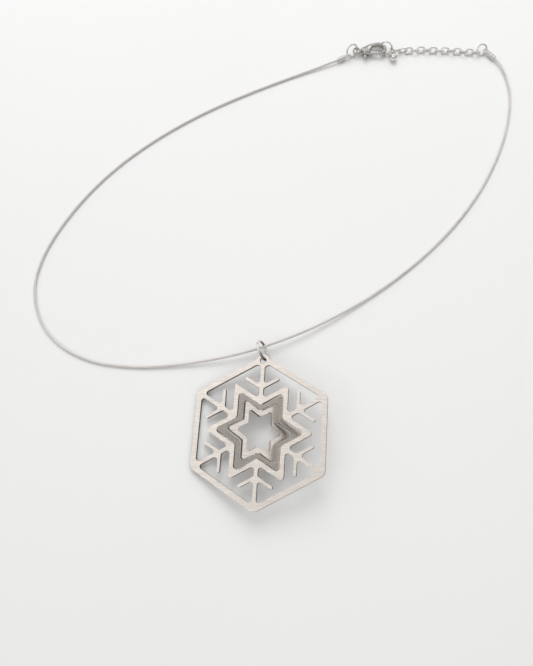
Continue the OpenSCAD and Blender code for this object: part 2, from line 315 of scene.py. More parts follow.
# ------------------------------------------------------------------ materials
class Shade:
    """Small helper that builds a node material."""

    def __init__(self, name):
        self.mat = bpy.data.materials.new(name)
        self.mat.use_nodes = True
        self.tree = self.mat.node_tree
        self.tree.nodes.clear()

    def node(self, kind, inputs=None, **props):
        n = self.tree.nodes.new(kind)
        for key, value in props.items():
            setattr(n, key, value)
        for key, value in (inputs or {}).items():
            sock = n.inputs[key]
            if isinstance(value, bpy.types.NodeSocket):
                self.tree.links.new(value, sock)
            else:
                sock.default_value = value
        return n

    def math(self, op, a, b=None, c=None, clamp=False):
        n = self.node("ShaderNodeMath", operation=op, use_clamp=clamp)
        for i, value in enumerate((a, b, c)):
            if value is None:
                continue
            if isinstance(value, bpy.types.NodeSocket):
                self.tree.links.new(value, n.inputs[i])
            else:
                n.inputs[i].default_value = value
        return n.outputs[0]

    def vmath(self, op, a, b=None):
        n = self.node("ShaderNodeVectorMath", operation=op)
        for i, value in enumerate((a, b)):
            if value is None:
                continue
            if isinstance(value, bpy.types.NodeSocket):
                self.tree.links.new(value, n.inputs[i])
            else:
                n.inputs[i].default_value = value
        return n.outputs["Value"] if op == "DOT_PRODUCT" else n.outputs[0]

    def noise(self, vector, scale, detail=2.0, rough=0.5, distort=0.0):
        n = self.node("ShaderNodeTexNoise", {"Vector": vector, "Scale": scale, "Detail": detail,
                                             "Roughness": rough, "Distortion": distort})
        return n.outputs["Fac"]

    def ramp(self, fac, stops, mode="LINEAR"):
        n = self.node("ShaderNodeValToRGB", {"Fac": fac})
        r = n.color_ramp
        r.interpolation = mode
        while len(r.elements) < len(stops):
            r.elements.new(0.5)
        for e, (pos, col) in zip(r.elements, stops):
            e.position = pos
            e.color = (*col, 1.0) if len(col) == 3 else col
        return n.outputs["Color"]

    def span(self, value, a, b, c, d, smooth=False):
        n = self.node("ShaderNodeMapRange", {"Value": value, "From Min": a, "From Max": b, "To Min": c, "To Max": d},
                      interpolation_type="SMOOTHSTEP" if smooth else "LINEAR")
        return n.outputs["Result"]

    def mix(self, fac, a, b, blend="MIX"):
        n = self.node("ShaderNodeMix", data_type="RGBA", blend_type=blend)
        for i, value in ((0, fac), (6, a), (7, b)):
            if isinstance(value, bpy.types.NodeSocket):
                self.tree.links.new(value, n.inputs[i])
            else:
                n.inputs[i].default_value = value if i == 0 else (*value, 1.0)
        return n.outputs[2]

    def bump(self, height, distance, strength=1.0, normal=None):
        n = self.node("ShaderNodeBump", {"Height": height, "Distance": distance, "Strength": strength})
        if normal is not None:
            self.tree.links.new(normal, n.inputs["Normal"])
        return n.outputs["Normal"]

    def finish(self, color, rough, normal=None, metallic=1.0, **fixed):
        s = self.node("ShaderNodeBsdfPrincipled")
        s.inputs["Metallic"].default_value = metallic
        for key, value in fixed.items():
            s.inputs[key.replace("_", " ")].default_value = value
        for sock, value in (("Base Color", color), ("Roughness", rough), ("Normal", normal)):
            if value is None:
                continue
            if isinstance(value, bpy.types.NodeSocket):
                self.tree.links.new(value, s.inputs[sock])
            else:
                s.inputs[sock].default_value = value
        out = self.node("ShaderNodeOutputMaterial")
        self.tree.links.new(s.outputs[0], out.inputs["Surface"])
        return self.mat


# Plate: same numbers as the construction
PLATE_AT = np.array([-3.0, -81.0, 4.3711])
STAR_TIP = 2 * 5.07 - 0.6
INNER_TURN, MID_TURN = 34.5, 18.0
tip_x = STAR_TIP * math.cos(math.radians(INNER_TURN)) - 0.6 * math.sin(math.radians(INNER_TURN))
tip_z = STAR_TIP * math.sin(math.radians(INNER_TURN)) + 0.6 * math.cos(math.radians(INNER_TURN))
TILT = math.degrees(math.atan((tip_z - 0.6) / (tip_x + 20.0)))


def brushed_plate():
    """Brushed faces with their grain along the sheet's x axis, and darker cut walls with fine lines across the sheet,
    some of them painted lighter as a painted reflection.
    """
    s = Shade("brushed_sheet")
    p = s.node("ShaderNodeAttribute", attribute_name="sheet_place").outputs["Vector"]
    mask = s.node("ShaderNodeAttribute", attribute_name="sheet_face").outputs["Fac"]
    # painted reflection: how much lighter each cut wall is painted
    painted_wall_sheen = s.node("ShaderNodeAttribute", attribute_name="sheet_painted_sheen").outputs["Fac"]
    band = s.noise(s.vmath("MULTIPLY", p, (0.32, 3.0, 0.5)), 1.0, 2.0, 0.55)
    fine = s.noise(s.vmath("MULTIPLY", p, (0.10, 17.0, 0.5)), 1.0, 2.0, 0.6)
    hair = s.noise(s.vmath("MULTIPLY", p, (0.22, 48.0, 0.5)), 1.0, 2.0, 0.6)
    cloud = s.noise(p, 0.16, 2.0, 0.5)
    grain = s.math("ADD", s.math("MULTIPLY", band, 0.40), s.math("MULTIPLY", fine, 0.32))
    grain = s.math("ADD", grain, s.math("MULTIPLY", hair, 0.28))
    col_face = s.ramp(grain, [(0.38, (0.622, 0.583, 0.547)), (0.5, (0.764, 0.712, 0.661)), (0.62, (0.892, 0.836, 0.779))])
    col_face = s.mix(s.span(cloud, 0.3, 0.7, 0.0, 0.25), col_face, (0.80, 0.742, 0.682))
    # single deeper scratches, a little off the grain
    scr = s.noise(s.vmath("MULTIPLY", s.node("ShaderNodeVectorRotate", {"Vector": p, "Angle": math.radians(7)},
                                             rotation_type="Z_AXIS").outputs[0], (0.35, 16.0, 0.5)), 1.0, 1.0, 0.5)
    scr = s.span(scr, 0.70, 0.78, 0.0, 1.0)
    col_face = s.mix(s.math("MULTIPLY", scr, 0.25), col_face, (0.56, 0.54, 0.52))
    lines = s.noise(s.vmath("MULTIPLY", p, (11.0, 11.0, 0.8)), 1.0, 3.0, 0.6)
    tint = s.noise(p, 0.5, 2.0, 0.5)
    col_wall = s.ramp(lines, [(0.3, (0.050, 0.045, 0.040)), (0.7, (0.150, 0.140, 0.130))])
    col_wall = s.mix(s.span(tint, 0.35, 0.7, 0.0, 0.5), col_wall, (0.105, 0.080, 0.058))
    # painted reflection: some cut walls are painted lighter, as if they caught light from the side
    col_wall = s.mix(painted_wall_sheen, col_wall, s.ramp(lines, [(0.3, (0.62, 0.575, 0.53)), (0.7, (0.78, 0.735, 0.69))]))
    edge = s.span(mask, 0.15, 0.75, 0.0, 1.0, smooth=True)
    color = s.mix(edge, col_wall, col_face)
    rough_face = s.math("ADD", s.span(grain, 0.36, 0.62, 0.33, 0.20), s.math("MULTIPLY", scr, 0.08))
    rough_wall = s.span(lines, 0.3, 0.7, 0.40, 0.60)
    rn = s.node("ShaderNodeMix", data_type="FLOAT")
    s.tree.links.new(edge, rn.inputs[0])
    s.tree.links.new(rough_wall, rn.inputs[2])
    s.tree.links.new(rough_face, rn.inputs[3])
    hf = s.math("ADD", fine, s.math("MULTIPLY", hair, 0.6))
    hf = s.math("MULTIPLY", s.math("SUBTRACT", hf, scr), edge)
    hw = s.math("MULTIPLY", s.math("MULTIPLY", lines, 2.2), s.math("SUBTRACT", 1.0, edge))
    normal = s.bump(s.math("ADD", hf, hw), 6e-6, 0.9)
    return s.finish(color, rn.outputs[0], normal)


def polished(name, base, dark, rough=(0.10, 0.20), seed=0.0, wear=0.25, inner=None):
    """Polished steel with faint scratches and dull spots; a wire ring may get painted shade and painted dark
    reflections, dark brown on the inner side of its wire and on some stretches.
    """
    s = Shade(name)
    tc = s.node("ShaderNodeTexCoord")
    p = s.vmath("ADD", s.vmath("MULTIPLY", tc.outputs["Object"], (1000.0, 1000.0, 1000.0)), (seed, seed * 0.7, -seed))
    blot = s.noise(p, 0.55, 3.0, 0.6)
    fine = s.noise(p, 6.0, 3.0, 0.6)
    scr1 = s.noise(s.vmath("MULTIPLY", p, (0.7, 14.0, 5.0)), 1.0, 2.0, 0.7, 0.4)
    scr2 = s.noise(s.vmath("MULTIPLY", p, (13.0, 0.8, 6.0)), 1.0, 2.0, 0.7, 0.4)
    mixf = s.math("ADD", s.math("MULTIPLY", blot, 0.6), s.math("MULTIPLY", fine, 0.4))
    color = s.ramp(mixf, [(0.32, dark), (0.58, base)])
    lines = s.math("MULTIPLY", s.span(scr1, 0.60, 0.72, 0.0, 1.0), 0.6)
    lines = s.math("MAXIMUM", lines, s.math("MULTIPLY", s.span(scr2, 0.62, 0.74, 0.0, 1.0), 0.5))
    r = s.math("ADD", s.span(mixf, 0.35, 0.65, rough[1], rough[0]), s.math("MULTIPLY", lines, wear))
    if inner:
        # painted shade and reflection: dark brown where the ring's attribute says, on the inner side of the wire and on
        # some stretches
        painted_shade = s.node("ShaderNodeAttribute", attribute_name="ring_painted_shade").outputs["Fac"]
        painted_shade = s.math("ADD", painted_shade, s.span(blot, 0.35, 0.65, -0.1, 0.1))
        color = s.mix(s.span(painted_shade, 0.1, 0.85, 0.0, inner, smooth=True), color, (0.13, 0.085, 0.065))
    height = s.math("ADD", s.math("MULTIPLY", fine, 0.5), s.math("MULTIPLY", lines, -0.6))
    return s.finish(color, r, s.bump(height, 4e-6, 0.8))


def cable_steel():
    """Steel rope: the strands are modelled, their single wires are a fine pattern along them."""
    s = Shade("cable_steel")
    tc = s.node("ShaderNodeTexCoord")
    sep = s.node("ShaderNodeSeparateXYZ", {"Vector": tc.outputs["UV"]})
    # u counts strands round the rope, v is millimetres along it
    phase = s.math("ADD", s.math("MULTIPLY", sep.outputs["X"], 4.0), s.math("MULTIPLY", sep.outputs["Y"], 1.4))
    wires = s.math("ABSOLUTE", s.math("SINE", s.math("MULTIPLY", phase, math.pi)))
    p = s.vmath("MULTIPLY", tc.outputs["Object"], (1000.0, 1000.0, 1000.0))
    dull = s.noise(p, 0.35, 3.0, 0.6)
    fine = s.noise(p, 9.0, 2.0, 0.6)
    color = s.ramp(s.math("ADD", s.math("MULTIPLY", dull, 0.6), s.math("MULTIPLY", fine, 0.4)),
                   [(0.3, (0.80, 0.775, 0.755)), (0.7, (0.95, 0.925, 0.905))])
    # painted shade: the grooves between the single wires are painted darker
    color = s.mix(s.span(wires, 0.0, 0.45, 0.35, 0.0), color, (0.30, 0.27, 0.25))
    r = s.math("ADD", s.span(dull, 0.3, 0.7, 0.34, 0.24), s.math("MULTIPLY", fine, 0.06))
    return s.finish(color, r, s.bump(wires, 2.2e-5, 0.9))


MAT_PLATE = brushed_plate()
MAT_RING = polished("ring_steel", (0.88, 0.86, 0.84), (0.74, 0.72, 0.70), (0.07, 0.15), 3.1, inner=0.8)
MAT_SMALL = polished("small_ring_steel", (0.90, 0.885, 0.865), (0.78, 0.76, 0.74), (0.12, 0.22), 7.9, inner=0.5)
MAT_DROP = polished("drop_steel", (0.88, 0.86, 0.84), (0.74, 0.72, 0.70), (0.07, 0.15), 5.3)
MAT_CLASP = polished("clasp_steel", (0.56, 0.55, 0.535), (0.42, 0.41, 0.395), (0.16, 0.28), 17.3, 0.3)
MAT_FITTING = polished("fitting_steel", (0.80, 0.785, 0.765), (0.64, 0.62, 0.60), (0.12, 0.24), 11.7, 0.3)
MAT_CHAIN = polished("chain_steel", (0.84, 0.825, 0.80), (0.66, 0.645, 0.62), (0.10, 0.22), 23.9, 0.3)
MAT_LEVER = polished("lever_steel", (0.60, 0.59, 0.575), (0.45, 0.44, 0.425), (0.18, 0.30), 37.3, 0.35)
MAT_CABLE = cable_steel()


# ------------------------------------------------------------------ neck cable
def along(heading, d):
    a = math.radians(heading)
    return np.array([d * math.cos(a), d * math.sin(a), 0.0])


CAP_LEFT, CAP_LEFT_TURN, CAP_LEFT_ROLL = np.array([16.42, 55.54, 0.95]), 33.0, -38.7
CAP_RIGHT, CAP_RIGHT_TURN, CAP_RIGHT_ROLL = np.array([73.4, 60.1, 0.95]), 134.0, 12.6
ROUTE = np.array([
    (13.7, 54.2, 0.93), (7.4, 51.1, 0.60), (-3.3, 45.8, 0.40), (-17.4, 38.2, 0.40), (-31.0, 29.8, 0.40),
    (-43.8, 20.2, 0.40), (-54.8, 10.0, 0.40), (-63.8, -0.7, 0.40), (-70.8, -11.7, 0.40), (-75.5, -21.6, 0.40),
    (-78.1, -30.2, 0.40), (-78.7, -38.2, 0.40), (-76.9, -45.9, 0.40), (-72.8, -52.8, 0.40), (-65.9, -58.5, 0.40),
    (-55.6, -62.3, 0.40), (-42.7, -63.1, 0.45), (-29.8, -61.6, 0.75), (-19.0, -59.4, 1.40), (-10.4, -57.0, 1.95),
    (-2.6, -54.1, 2.15), (5.3, -50.5, 1.95), (14.1, -45.7, 1.40), (25.1, -38.6, 0.75), (37.0, -29.4, 0.45),
    (47.9, -19.1, 0.40), (57.7, -7.7, 0.40), (66.0, 4.8, 0.40), (72.1, 17.3, 0.40), (76.0, 28.7, 0.40),
    (78.0, 38.5, 0.40), (78.4, 45.5, 0.40), (77.6, 51.4, 0.50), (76.2, 55.7, 0.80), (74.8, 58.4, 0.93)])
whole = np.vstack([CAP_LEFT + along(CAP_LEFT_TURN, 2.4), CAP_LEFT, ROUTE, CAP_RIGHT,
                   CAP_RIGHT + along(CAP_RIGHT_TURN, 2.4)])


def catmull(q, k):
    out = []
    for i in range(len(q) - 1):
        a, b, c, d = q[max(i - 1, 0)], q[i], q[i + 1], q[min(i + 2, len(q) - 1)]
        for j in range(k):
            t = j / k
            out.append(0.5 * (2 * b + (c - a) * t + (2 * a - 5 * b + 4 * c - d) * t * t
                              + (3 * b - a - 3 * c + d) * t ** 3))
    out.append(q[-1])
    return np.array(out)


def resampled(p, step):
    s = np.r_[0, np.cumsum(np.linalg.norm(np.diff(p, axis=0), axis=1))]
    m = max(2, int(round(s[-1] / step)) + 1)
    q = np.linspace(0, s[-1], m)
    return np.c_[[np.interp(q, s, p[:, i]) for i in range(3)]].T, q


def rope_section(strands, outer, per=8):
    """Outline of strands lying round a core, and where each of its points is on its strand."""
    r = outer / 3.0
    pts, u = [], []
    for k in range(strands):
        a = 2 * math.pi * k / strands
        for j in range(per):
            b = math.radians(-120 + 240 * j / per)
            pts.append([2 * r * math.cos(a) + r * math.cos(a + b), 2 * r * math.sin(a) + r * math.sin(a + b)])
            u.append(k + j / per)
    return np.array(pts), np.array(u)


def neck_cable():
    path, s = resampled(catmull(whole, 30), 0.42)
    sec, u = rope_section(6, 0.395)
    v, f = sweep(path, sec, twist=2 * math.pi * s / 7.0)
    o = piece("neck_cable", v, f, MAT_CABLE, stands_for="neck_wire")
    me = o.data
    k = len(sec)
    uv = me.uv_layers.new(name="rope")
    loops = np.zeros(len(me.loops), np.int64)
    me.loops.foreach_get("vertex_index", loops)
    row, col = loops // k, loops % k
    uu = u[col].astype(float)
    # the face that closes the round ends at u = 6, not 0
    start = np.zeros(len(me.polygons), np.int64)
    total = np.zeros(len(me.polygons), np.int64)
    me.polygons.foreach_get("loop_start", start)
    me.polygons.foreach_get("loop_total", total)
    quad = total == 4
    for c in range(4):
        at = start[quad] + c
        first = start[quad]
        wrap = (col[first] == k - 1) & (col[at] == 0)
        uu[at[wrap]] = 6.0
    data = np.c_[uu, s[row]].astype(np.float32)
    uv.data.foreach_set("uv", data.ravel())
    length = float(s[-1]) * MM
    return o, path * MM, length


cable, cable_path, cable_length = neck_cable()


# ------------------------------------------------------------------ snowflake plate
HALF_T = 0.6
EDGE = 0.075


def sheet_frame(turned):
    """Turn of a part of the sheet against the world; its place is PLATE_AT."""
    return rot("y", turned - TILT)


def outlines(turned):
    """The outlines of the top face of one part of the sheet, in that part's own x and y, metal on the left."""
    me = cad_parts["snowflake"].data
    n = len(me.vertices)
    co = np.zeros(n * 3)
    me.vertices.foreach_get("co", co)
    local = (co.reshape(-1, 3) / MM - PLATE_AT) @ sheet_frame(turned)
    key = {}
    index = np.zeros(n, int)
    place = []
    for i, q in enumerate(local):
        k = tuple(np.round(q, 3))
        if k not in key:
            key[k] = len(place)
            place.append(q)
        index[i] = key[k]
    place = np.array(place)
    edges = set()
    for p in me.polygons:
        v = [index[i] for i in p.vertices]
        if all(abs(place[i][2] - HALF_T) < 0.003 for i in v):
            if p.area > 0 and len(set(v)) == len(v):
                a, b, c = place[v[0]], place[v[1]], place[v[2]]
                if np.cross(b - a, c - a)[2] < 0:
                    v = v[::-1]
                edges |= {(v[j], v[(j + 1) % len(v)]) for j in range(len(v))}
    after = {}
    for a, b in edges:
        if (b, a) not in edges:
            after[a] = b
    loops = []
    while after:
        start = next(iter(after))
        loop, at = [], start
        while at in after:
            loop.append(at)
            at = after.pop(at)
        if len(loop) > 2 and at == start:
            loops.append(place[loop][:, :2])
    return loops


def tidy(loop, least=0.02):
    """Drops points that stand closer together than the least distance."""
    out = [loop[0]]
    for q in loop[1:]:
        if np.linalg.norm(q - out[-1]) > least:
            out.append(q)
    if np.linalg.norm(out[0] - out[-1]) < least:
        out.pop()
    return np.array(out)


def inward(loop):
    """Unit direction into the metal at each point, and the stretch that keeps an offset parallel."""
    e = unit(np.roll(loop, -1, 0) - loop)
    left = np.c_[-e[:, 1], e[:, 0]]
    prev = np.roll(left, 1, 0)
    m = unit(left + prev)
    return m, 1.0 / np.maximum((m * left).sum(1), 0.5)


def sheet_part(turned, keep_flush, painted_sheen_of):
    """One part of the sheet with rounded edges. keep_flush(points) is 0 where a bridge joins on, else 1;
    the third argument gives how much the cut wall is painted lighter, as a painted reflection, at each point of an
    outline."""
    rows = [(-1, 1.0, 0.0), (-1, 0.62, 0.08), (-1, 0.293, 0.293), (-1, 0.08, 0.62), (-1, 0.0, 1.0),
            (1, 0.0, 1.0), (1, 0.08, 0.62), (1, 0.293, 0.293), (1, 0.62, 0.08), (1, 1.0, 0.0)]
    bm_v, normals, mask, painted_wall_sheen, faces = [], [], [], [], []
    caps = ([], [])
    for loop in outlines(turned):
        loop = tidy(loop)
        m, stretch = inward(loop)
        b = EDGE * keep_flush(loop)
        c = painted_sheen_of(loop)
        k, base = len(loop), len(bm_v)
        for side, off, down in rows:
            q = loop + m * (stretch * b * off)[:, None]
            z = side * (HALF_T - b * down)
            up = 0.0 if down == 1.0 else (1.0 if off == 1.0 else math.sin(math.pi / 2 * (1 - down) ** 0.75))
            for i in range(k):
                bm_v.append((q[i][0], q[i][1], z[i]))
                out = -m[i] * math.sqrt(max(0.0, 1 - up * up))
                normals.append((out[0], out[1], side * up))
                mask.append(1.0 if off == 1.0 else 1.0 - down)
                painted_wall_sheen.append(c[i])
        for r in range(len(rows) - 1):
            for i in range(k):
                i2 = (i + 1) % k
                # metal is on the left of the loop, so outside is on the right
                faces.append((base + r * k + i, base + r * k + i2, base + (r + 1) * k + i2, base + (r + 1) * k + i))
        caps[0].append([base + i for i in range(k)])
        caps[1].append([base + (len(rows) - 1) * k + i for i in range(k)])
    for which, loops in enumerate(caps):
        bm = bmesh.new()
        made = {}
        for loop in loops:
            vs = []
            for i in loop:
                v = bm.verts.new(bm_v[i])
                made[v] = i
                vs.append(v)
            for j in range(len(vs)):
                bm.edges.new((vs[j], vs[(j + 1) % len(vs)]))
        bmesh.ops.triangle_fill(bm, use_beauty=True, use_dissolve=False, edges=bm.edges[:])
        for f in bm.faces:
            idx = [made[v] for v in f.verts]
            f.normal_update()
            if (f.normal.z > 0) != (which == 1):
                idx = idx[::-1]
            faces.append(tuple(idx))
        bm.free()
    return np.array(bm_v), faces, np.array(normals), np.array(mask), np.array(painted_wall_sheen)


def notch(d, r):
    return d / math.cos(math.radians(30)) + r * (1 / math.sin(math.radians(60)) - 1)


def notch_flank(d, r):
    return notch(d, r) + r - math.sqrt(r * r - 1.1 * 1.1 / 4)


def bridge(g0, g1, a0, a1, mirrored):
    """Strip that carries a turned ring, twisted across the gap; in the sheet's own frame."""
    w, h, e = 0.55, HALF_T - 0.0006, 0.35
    r = 0.05
    corner = [(w, -h), (w, h), (-w, h), (-w, -h)]
    sec, nor, face = [], [], []
    for c, (x, z) in enumerate(corner):
        sx, sz = math.copysign(1, x), math.copysign(1, z)
        for j in range(4):
            a = {0: -90, 1: 0, 2: 90, 3: 180}[c] + j * 30
            ca, sa = math.cos(math.radians(a)), math.sin(math.radians(a))
            sec.append((x - sx * r + r * ca, z - sz * r + r * sa))
            nor.append((ca, sa))
            face.append(abs(sa))
    steps = 16
    rows = [(g0 - e, a0)] + [(g0 + (g1 - g0) * i / steps, a0 + (a1 - a0) * (i / steps)) for i in range(steps + 1)]
    rows.append((g1 + e, a1))
    v, n, m, place = [], [], [], []
    for y, a in rows:
        ca, sa = math.cos(math.radians(a)), math.sin(math.radians(a))
        for (x, z), (nx, nz), fm in zip(sec, nor, face):
            v.append((x * ca + z * sa, y, -x * sa + z * ca))
            n.append((nx * ca + nz * sa, 0.0, -nx * sa + nz * ca))
            m.append(1.0 if fm > 0.99 else (0.0 if fm < 0.01 else fm ** 2))
            place.append((x, y, z))
    k, f = len(sec), []
    for i in range(len(rows) - 1):
        for j in range(k):
            j2 = (j + 1) % k
            f.append((i * k + j, (i + 1) * k + j, (i + 1) * k + j2, i * k + j2))
    f.append(tuple(range(k)))
    f.append(tuple((len(rows) - 1) * k + j for j in range(k - 1, -1, -1)))
    v, n, place = np.array(v), np.array(n), np.array(place)
    if mirrored:
        v[:, 1] *= -1
        n[:, 1] *= -1
        place[:, 1] *= -1
        f = [tuple(reversed(q)) for q in f]
    return v, f, n, np.array(m), place


def snowflake():
    def flush_at(radii):
        def rule(loop):
            out = np.ones(len(loop))
            for r in radii:
                near = np.hypot(np.maximum(np.abs(loop[:, 0]) - 0.45, 0), np.maximum(np.abs(np.abs(loop[:, 1]) - r) - 0.25, 0))
                out = np.minimum(out, np.clip(near / 0.45, 0, 1))
            return out * out * (3 - 2 * out)
        return rule

    def painted_sheen_at(reach, upper, tip, lower):
        """Painted reflection: walls of the opening within reach of the centre, on the side that hangs low, are painted
        lighter with these tones by bearing.
        """
        def rule(loop):
            if np.hypot(loop[:, 0], loop[:, 1]).max() > reach:
                return np.zeros(len(loop))
            side = np.clip((loop[:, 0] - 0.4) / 1.6, 0, 1)
            bearing = np.degrees(np.arctan2(loop[:, 1], loop[:, 0]))
            tone = np.interp(bearing, [-3, 3, 26, 36, 57, 63], [lower, tip, tip, upper, upper, 0.0])
            return tone * side * side * (3 - 2 * side)
        return rule

    n_star, n_mid_in, n_mid_out, n_inner = notch(6.88, 1.2), notch(5.4, 1.1), notch(6.55, 1.1), notch(5.07, 0.9)
    V, F, N, M, P, C = [], [], [], [], [], []
    count = 0
    # the last of each row sets the painted reflection on that part's cut walls
    for turned, radii, painted_wall_sheen in ((0.0, [n_star], painted_sheen_at(14.0, 1.0, 0.15, 1.0)),
                                 (MID_TURN, [n_mid_in, n_mid_out], painted_sheen_at(11.0, 0.80, 0.0, 0.60)),
                                 (INNER_TURN, [n_inner], painted_sheen_at(8.0, 1.0, 1.0, 1.0))):
        v, f, n, m, c = sheet_part(turned, flush_at(radii), painted_wall_sheen)
        t = sheet_frame(turned)
        V.append(v @ t.T + PLATE_AT)
        N.append(n @ t.T)
        M.append(m)
        P.append(v)
        C.append(c)
        F += [tuple(i + count for i in face) for face in f]
        count += len(v)
    t = sheet_frame(0.0)
    for g0, g1, a0, a1 in ((notch_flank(5.07, 0.9) + 0.02, n_mid_in - 0.02, INNER_TURN, MID_TURN),
                           (notch_flank(6.55, 1.1) + 0.02, n_star - 0.02, MID_TURN, 0.0)):
        for mirrored in (False, True):
            v, f, n, m, p = bridge(g0, g1, a0, a1, mirrored)
            V.append(v @ t.T + PLATE_AT)
            N.append(n @ t.T)
            M.append(m)
            P.append(p)
            C.append(np.zeros(len(v)))
            F += [tuple(i + count for i in face) for face in f]
            count += len(v)
    V, N, M, P, C = np.vstack(V), np.vstack(N), np.concatenate(M), np.vstack(P), np.concatenate(C)
    V = np.round(V, 4)
    F, used = without_collapsed(V, F)
    V, N, M, P, C = V[used], N[used], M[used], P[used], C[used]
    o = piece("snowflake_plate", V, F, MAT_PLATE, stands_for="snowflake")
    me = o.data
    at = me.attributes.new("sheet_place", "FLOAT_VECTOR", "POINT")
    at.data.foreach_set("vector", P.astype(np.float32).ravel())
    at = me.attributes.new("sheet_face", "FLOAT", "POINT")
    at.data.foreach_set("value", M.astype(np.float32))
    # how much painted reflection lightens the cut walls
    at = me.attributes.new("sheet_painted_sheen", "FLOAT", "POINT")
    at.data.foreach_set("value", C.astype(np.float32))
    me.normals_split_custom_set_from_vertices([tuple(q) for q in unit(N)])
    return o


flake = snowflake()


# ------------------------------------------------------------------ rings
def posed(v, at, lean, heading):
    return np.asarray(v) @ (rot("z", heading) @ rot("x", lean)).T + np.asarray(at)


def jump_ring(name, at, lean, heading, mean_r, wire, cut_at, node, material, painted_shade_spots=(), gap=0.035, sides=20, rings=120):
    """Open wire ring: its two cut ends meet at the angle cut_at with a hair's gap and a small step.
    The dark spots argument: (angle, half width, inwards, upwards) of each stretch painted dark as painted shade and
    reflection, and of the side of the wire it is on."""
    g = gap / mean_r / 2
    a = np.linspace(math.radians(cut_at) + g, math.radians(cut_at) + 2 * math.pi - g, rings)
    step = 0.04 * wire * np.linspace(-1, 1, rings)
    step *= np.abs(np.linspace(-1, 1, rings)) ** 6
    p = np.c_[mean_r * np.cos(a), mean_r * np.sin(a), step]
    v, f = sweep(p, disc(wire / 2, sides))
    off = (v - np.repeat(p, sides, axis=0)) / (wire / 2)
    inside = -(off * unit(np.repeat(p * (1, 1, 0), sides, axis=0))).sum(1)
    round_at = np.degrees(np.repeat(a, sides))
    # painted shade: the inner side of every ring's wire is painted darker
    painted_shade = np.clip(inside, 0, 1) * 0.35
    for centre, half, inwards, upwards in painted_shade_spots:
        away = np.abs((round_at - centre + 180) % 360 - 180) / half
        side = np.clip(inwards * inside + upwards * off[:, 2] + 0.35, 0, 1)
        painted_shade = np.maximum(painted_shade, np.clip(1.6 - 1.2 * away, 0, 1) * side)
    o = piece(name, posed(v, at, lean, heading), f, material, stands_for=node)
    o.data.attributes.new("ring_painted_shade", "FLOAT", "POINT").data.foreach_set("value", painted_shade.astype(np.float32))
    return o


# the two stretches painted dark here stand for dark reflections in the wire
hanging_ring = jump_ring("hanging_ring", (-3.484, -56.048, 3.526), 65.5, 111.5, 3.3, 0.8, 250, "pendant_ring", MAT_RING,
                         painted_shade_spots=[(330, 30, 1.0, 0.0), (130, 30, 0.0, 1.0)])
left_ring = jump_ring("left_fitting_ring", (21.342, 59.068, 2.226), 62.2, 32.4, 2.15, 0.6, 285, "clasp_ring", MAT_SMALL)
end_ring = jump_ring("end_ring", (33.620, 61.000, 2.236), 61.1, -23.0, 2.2, 0.6, 80, "drop_ring", MAT_SMALL)
right_ring = jump_ring("right_fitting_ring", (68.708, 63.129, 1.662), 47.2, 20.7, 1.8, 0.6, 60, "chain_ring", MAT_SMALL)


# ------------------------------------------------------------------ crimped end caps
def end_cap(name, at, heading, roll, node):
    """Tube crimped on the cable, drawn in to a short neck that carries a loop."""
    prof = [(0.02, 0.0), (0.02, 0.74), (0.06, 0.82), (0.16, 0.88), (0.34, 0.89), (0.55, 0.88), (0.72, 0.80),
            (0.86, 0.755), (1.00, 0.80), (1.16, 0.875), (1.36, 0.89), (1.58, 0.89), (1.76, 0.875), (1.92, 0.80),
            (2.06, 0.755), (2.20, 0.80), (2.38, 0.87), (2.56, 0.89), (2.76, 0.87), (2.92, 0.80), (3.05, 0.66),
            (3.14, 0.50), (3.24, 0.38), (3.34, 0.33), (3.44, 0.0)]
    barrel = lathe(prof, 48)
    loop = sweep(circle_points(1.0, 96), disc(0.25, 20), closed=True)
    turn_loop = rot("x", roll)
    lv = loop[0] @ turn_loop.T + np.array([4.15, 0, 0])
    neck = ball_chain([(3.0, 0, 0), (3.42, 0, 0)], [0.42, 0.27], step=0.06)
    bore = lathe([(-1.0, 0.0), (-1.0, 0.425), (2.5, 0.425), (2.5, 0.0)], 32)
    v, f = fused([barrel, (lv, loop[1])] + neck, 0.05, 3, cuts=[bore])
    v = v @ rot("z", heading).T + at
    return piece(name, v, f, MAT_FITTING, stands_for=node)


cap_l = end_cap("left_cap", CAP_LEFT, CAP_LEFT_TURN, CAP_LEFT_ROLL, "end_cap_left")
cap_r = end_cap("right_cap", CAP_RIGHT, CAP_RIGHT_TURN, CAP_RIGHT_ROLL, "end_cap_right")


# ------------------------------------------------------------------ clasp
CLASP_AT, CLASP_TURN = np.array([23.13, 59.67, 1.5]), 8.0
PIVOT = np.array([3.3, -0.8])
HOOK_C, HOOK_R, BACK_R = np.array([8.2, 0.1]), 2.0, 9.0


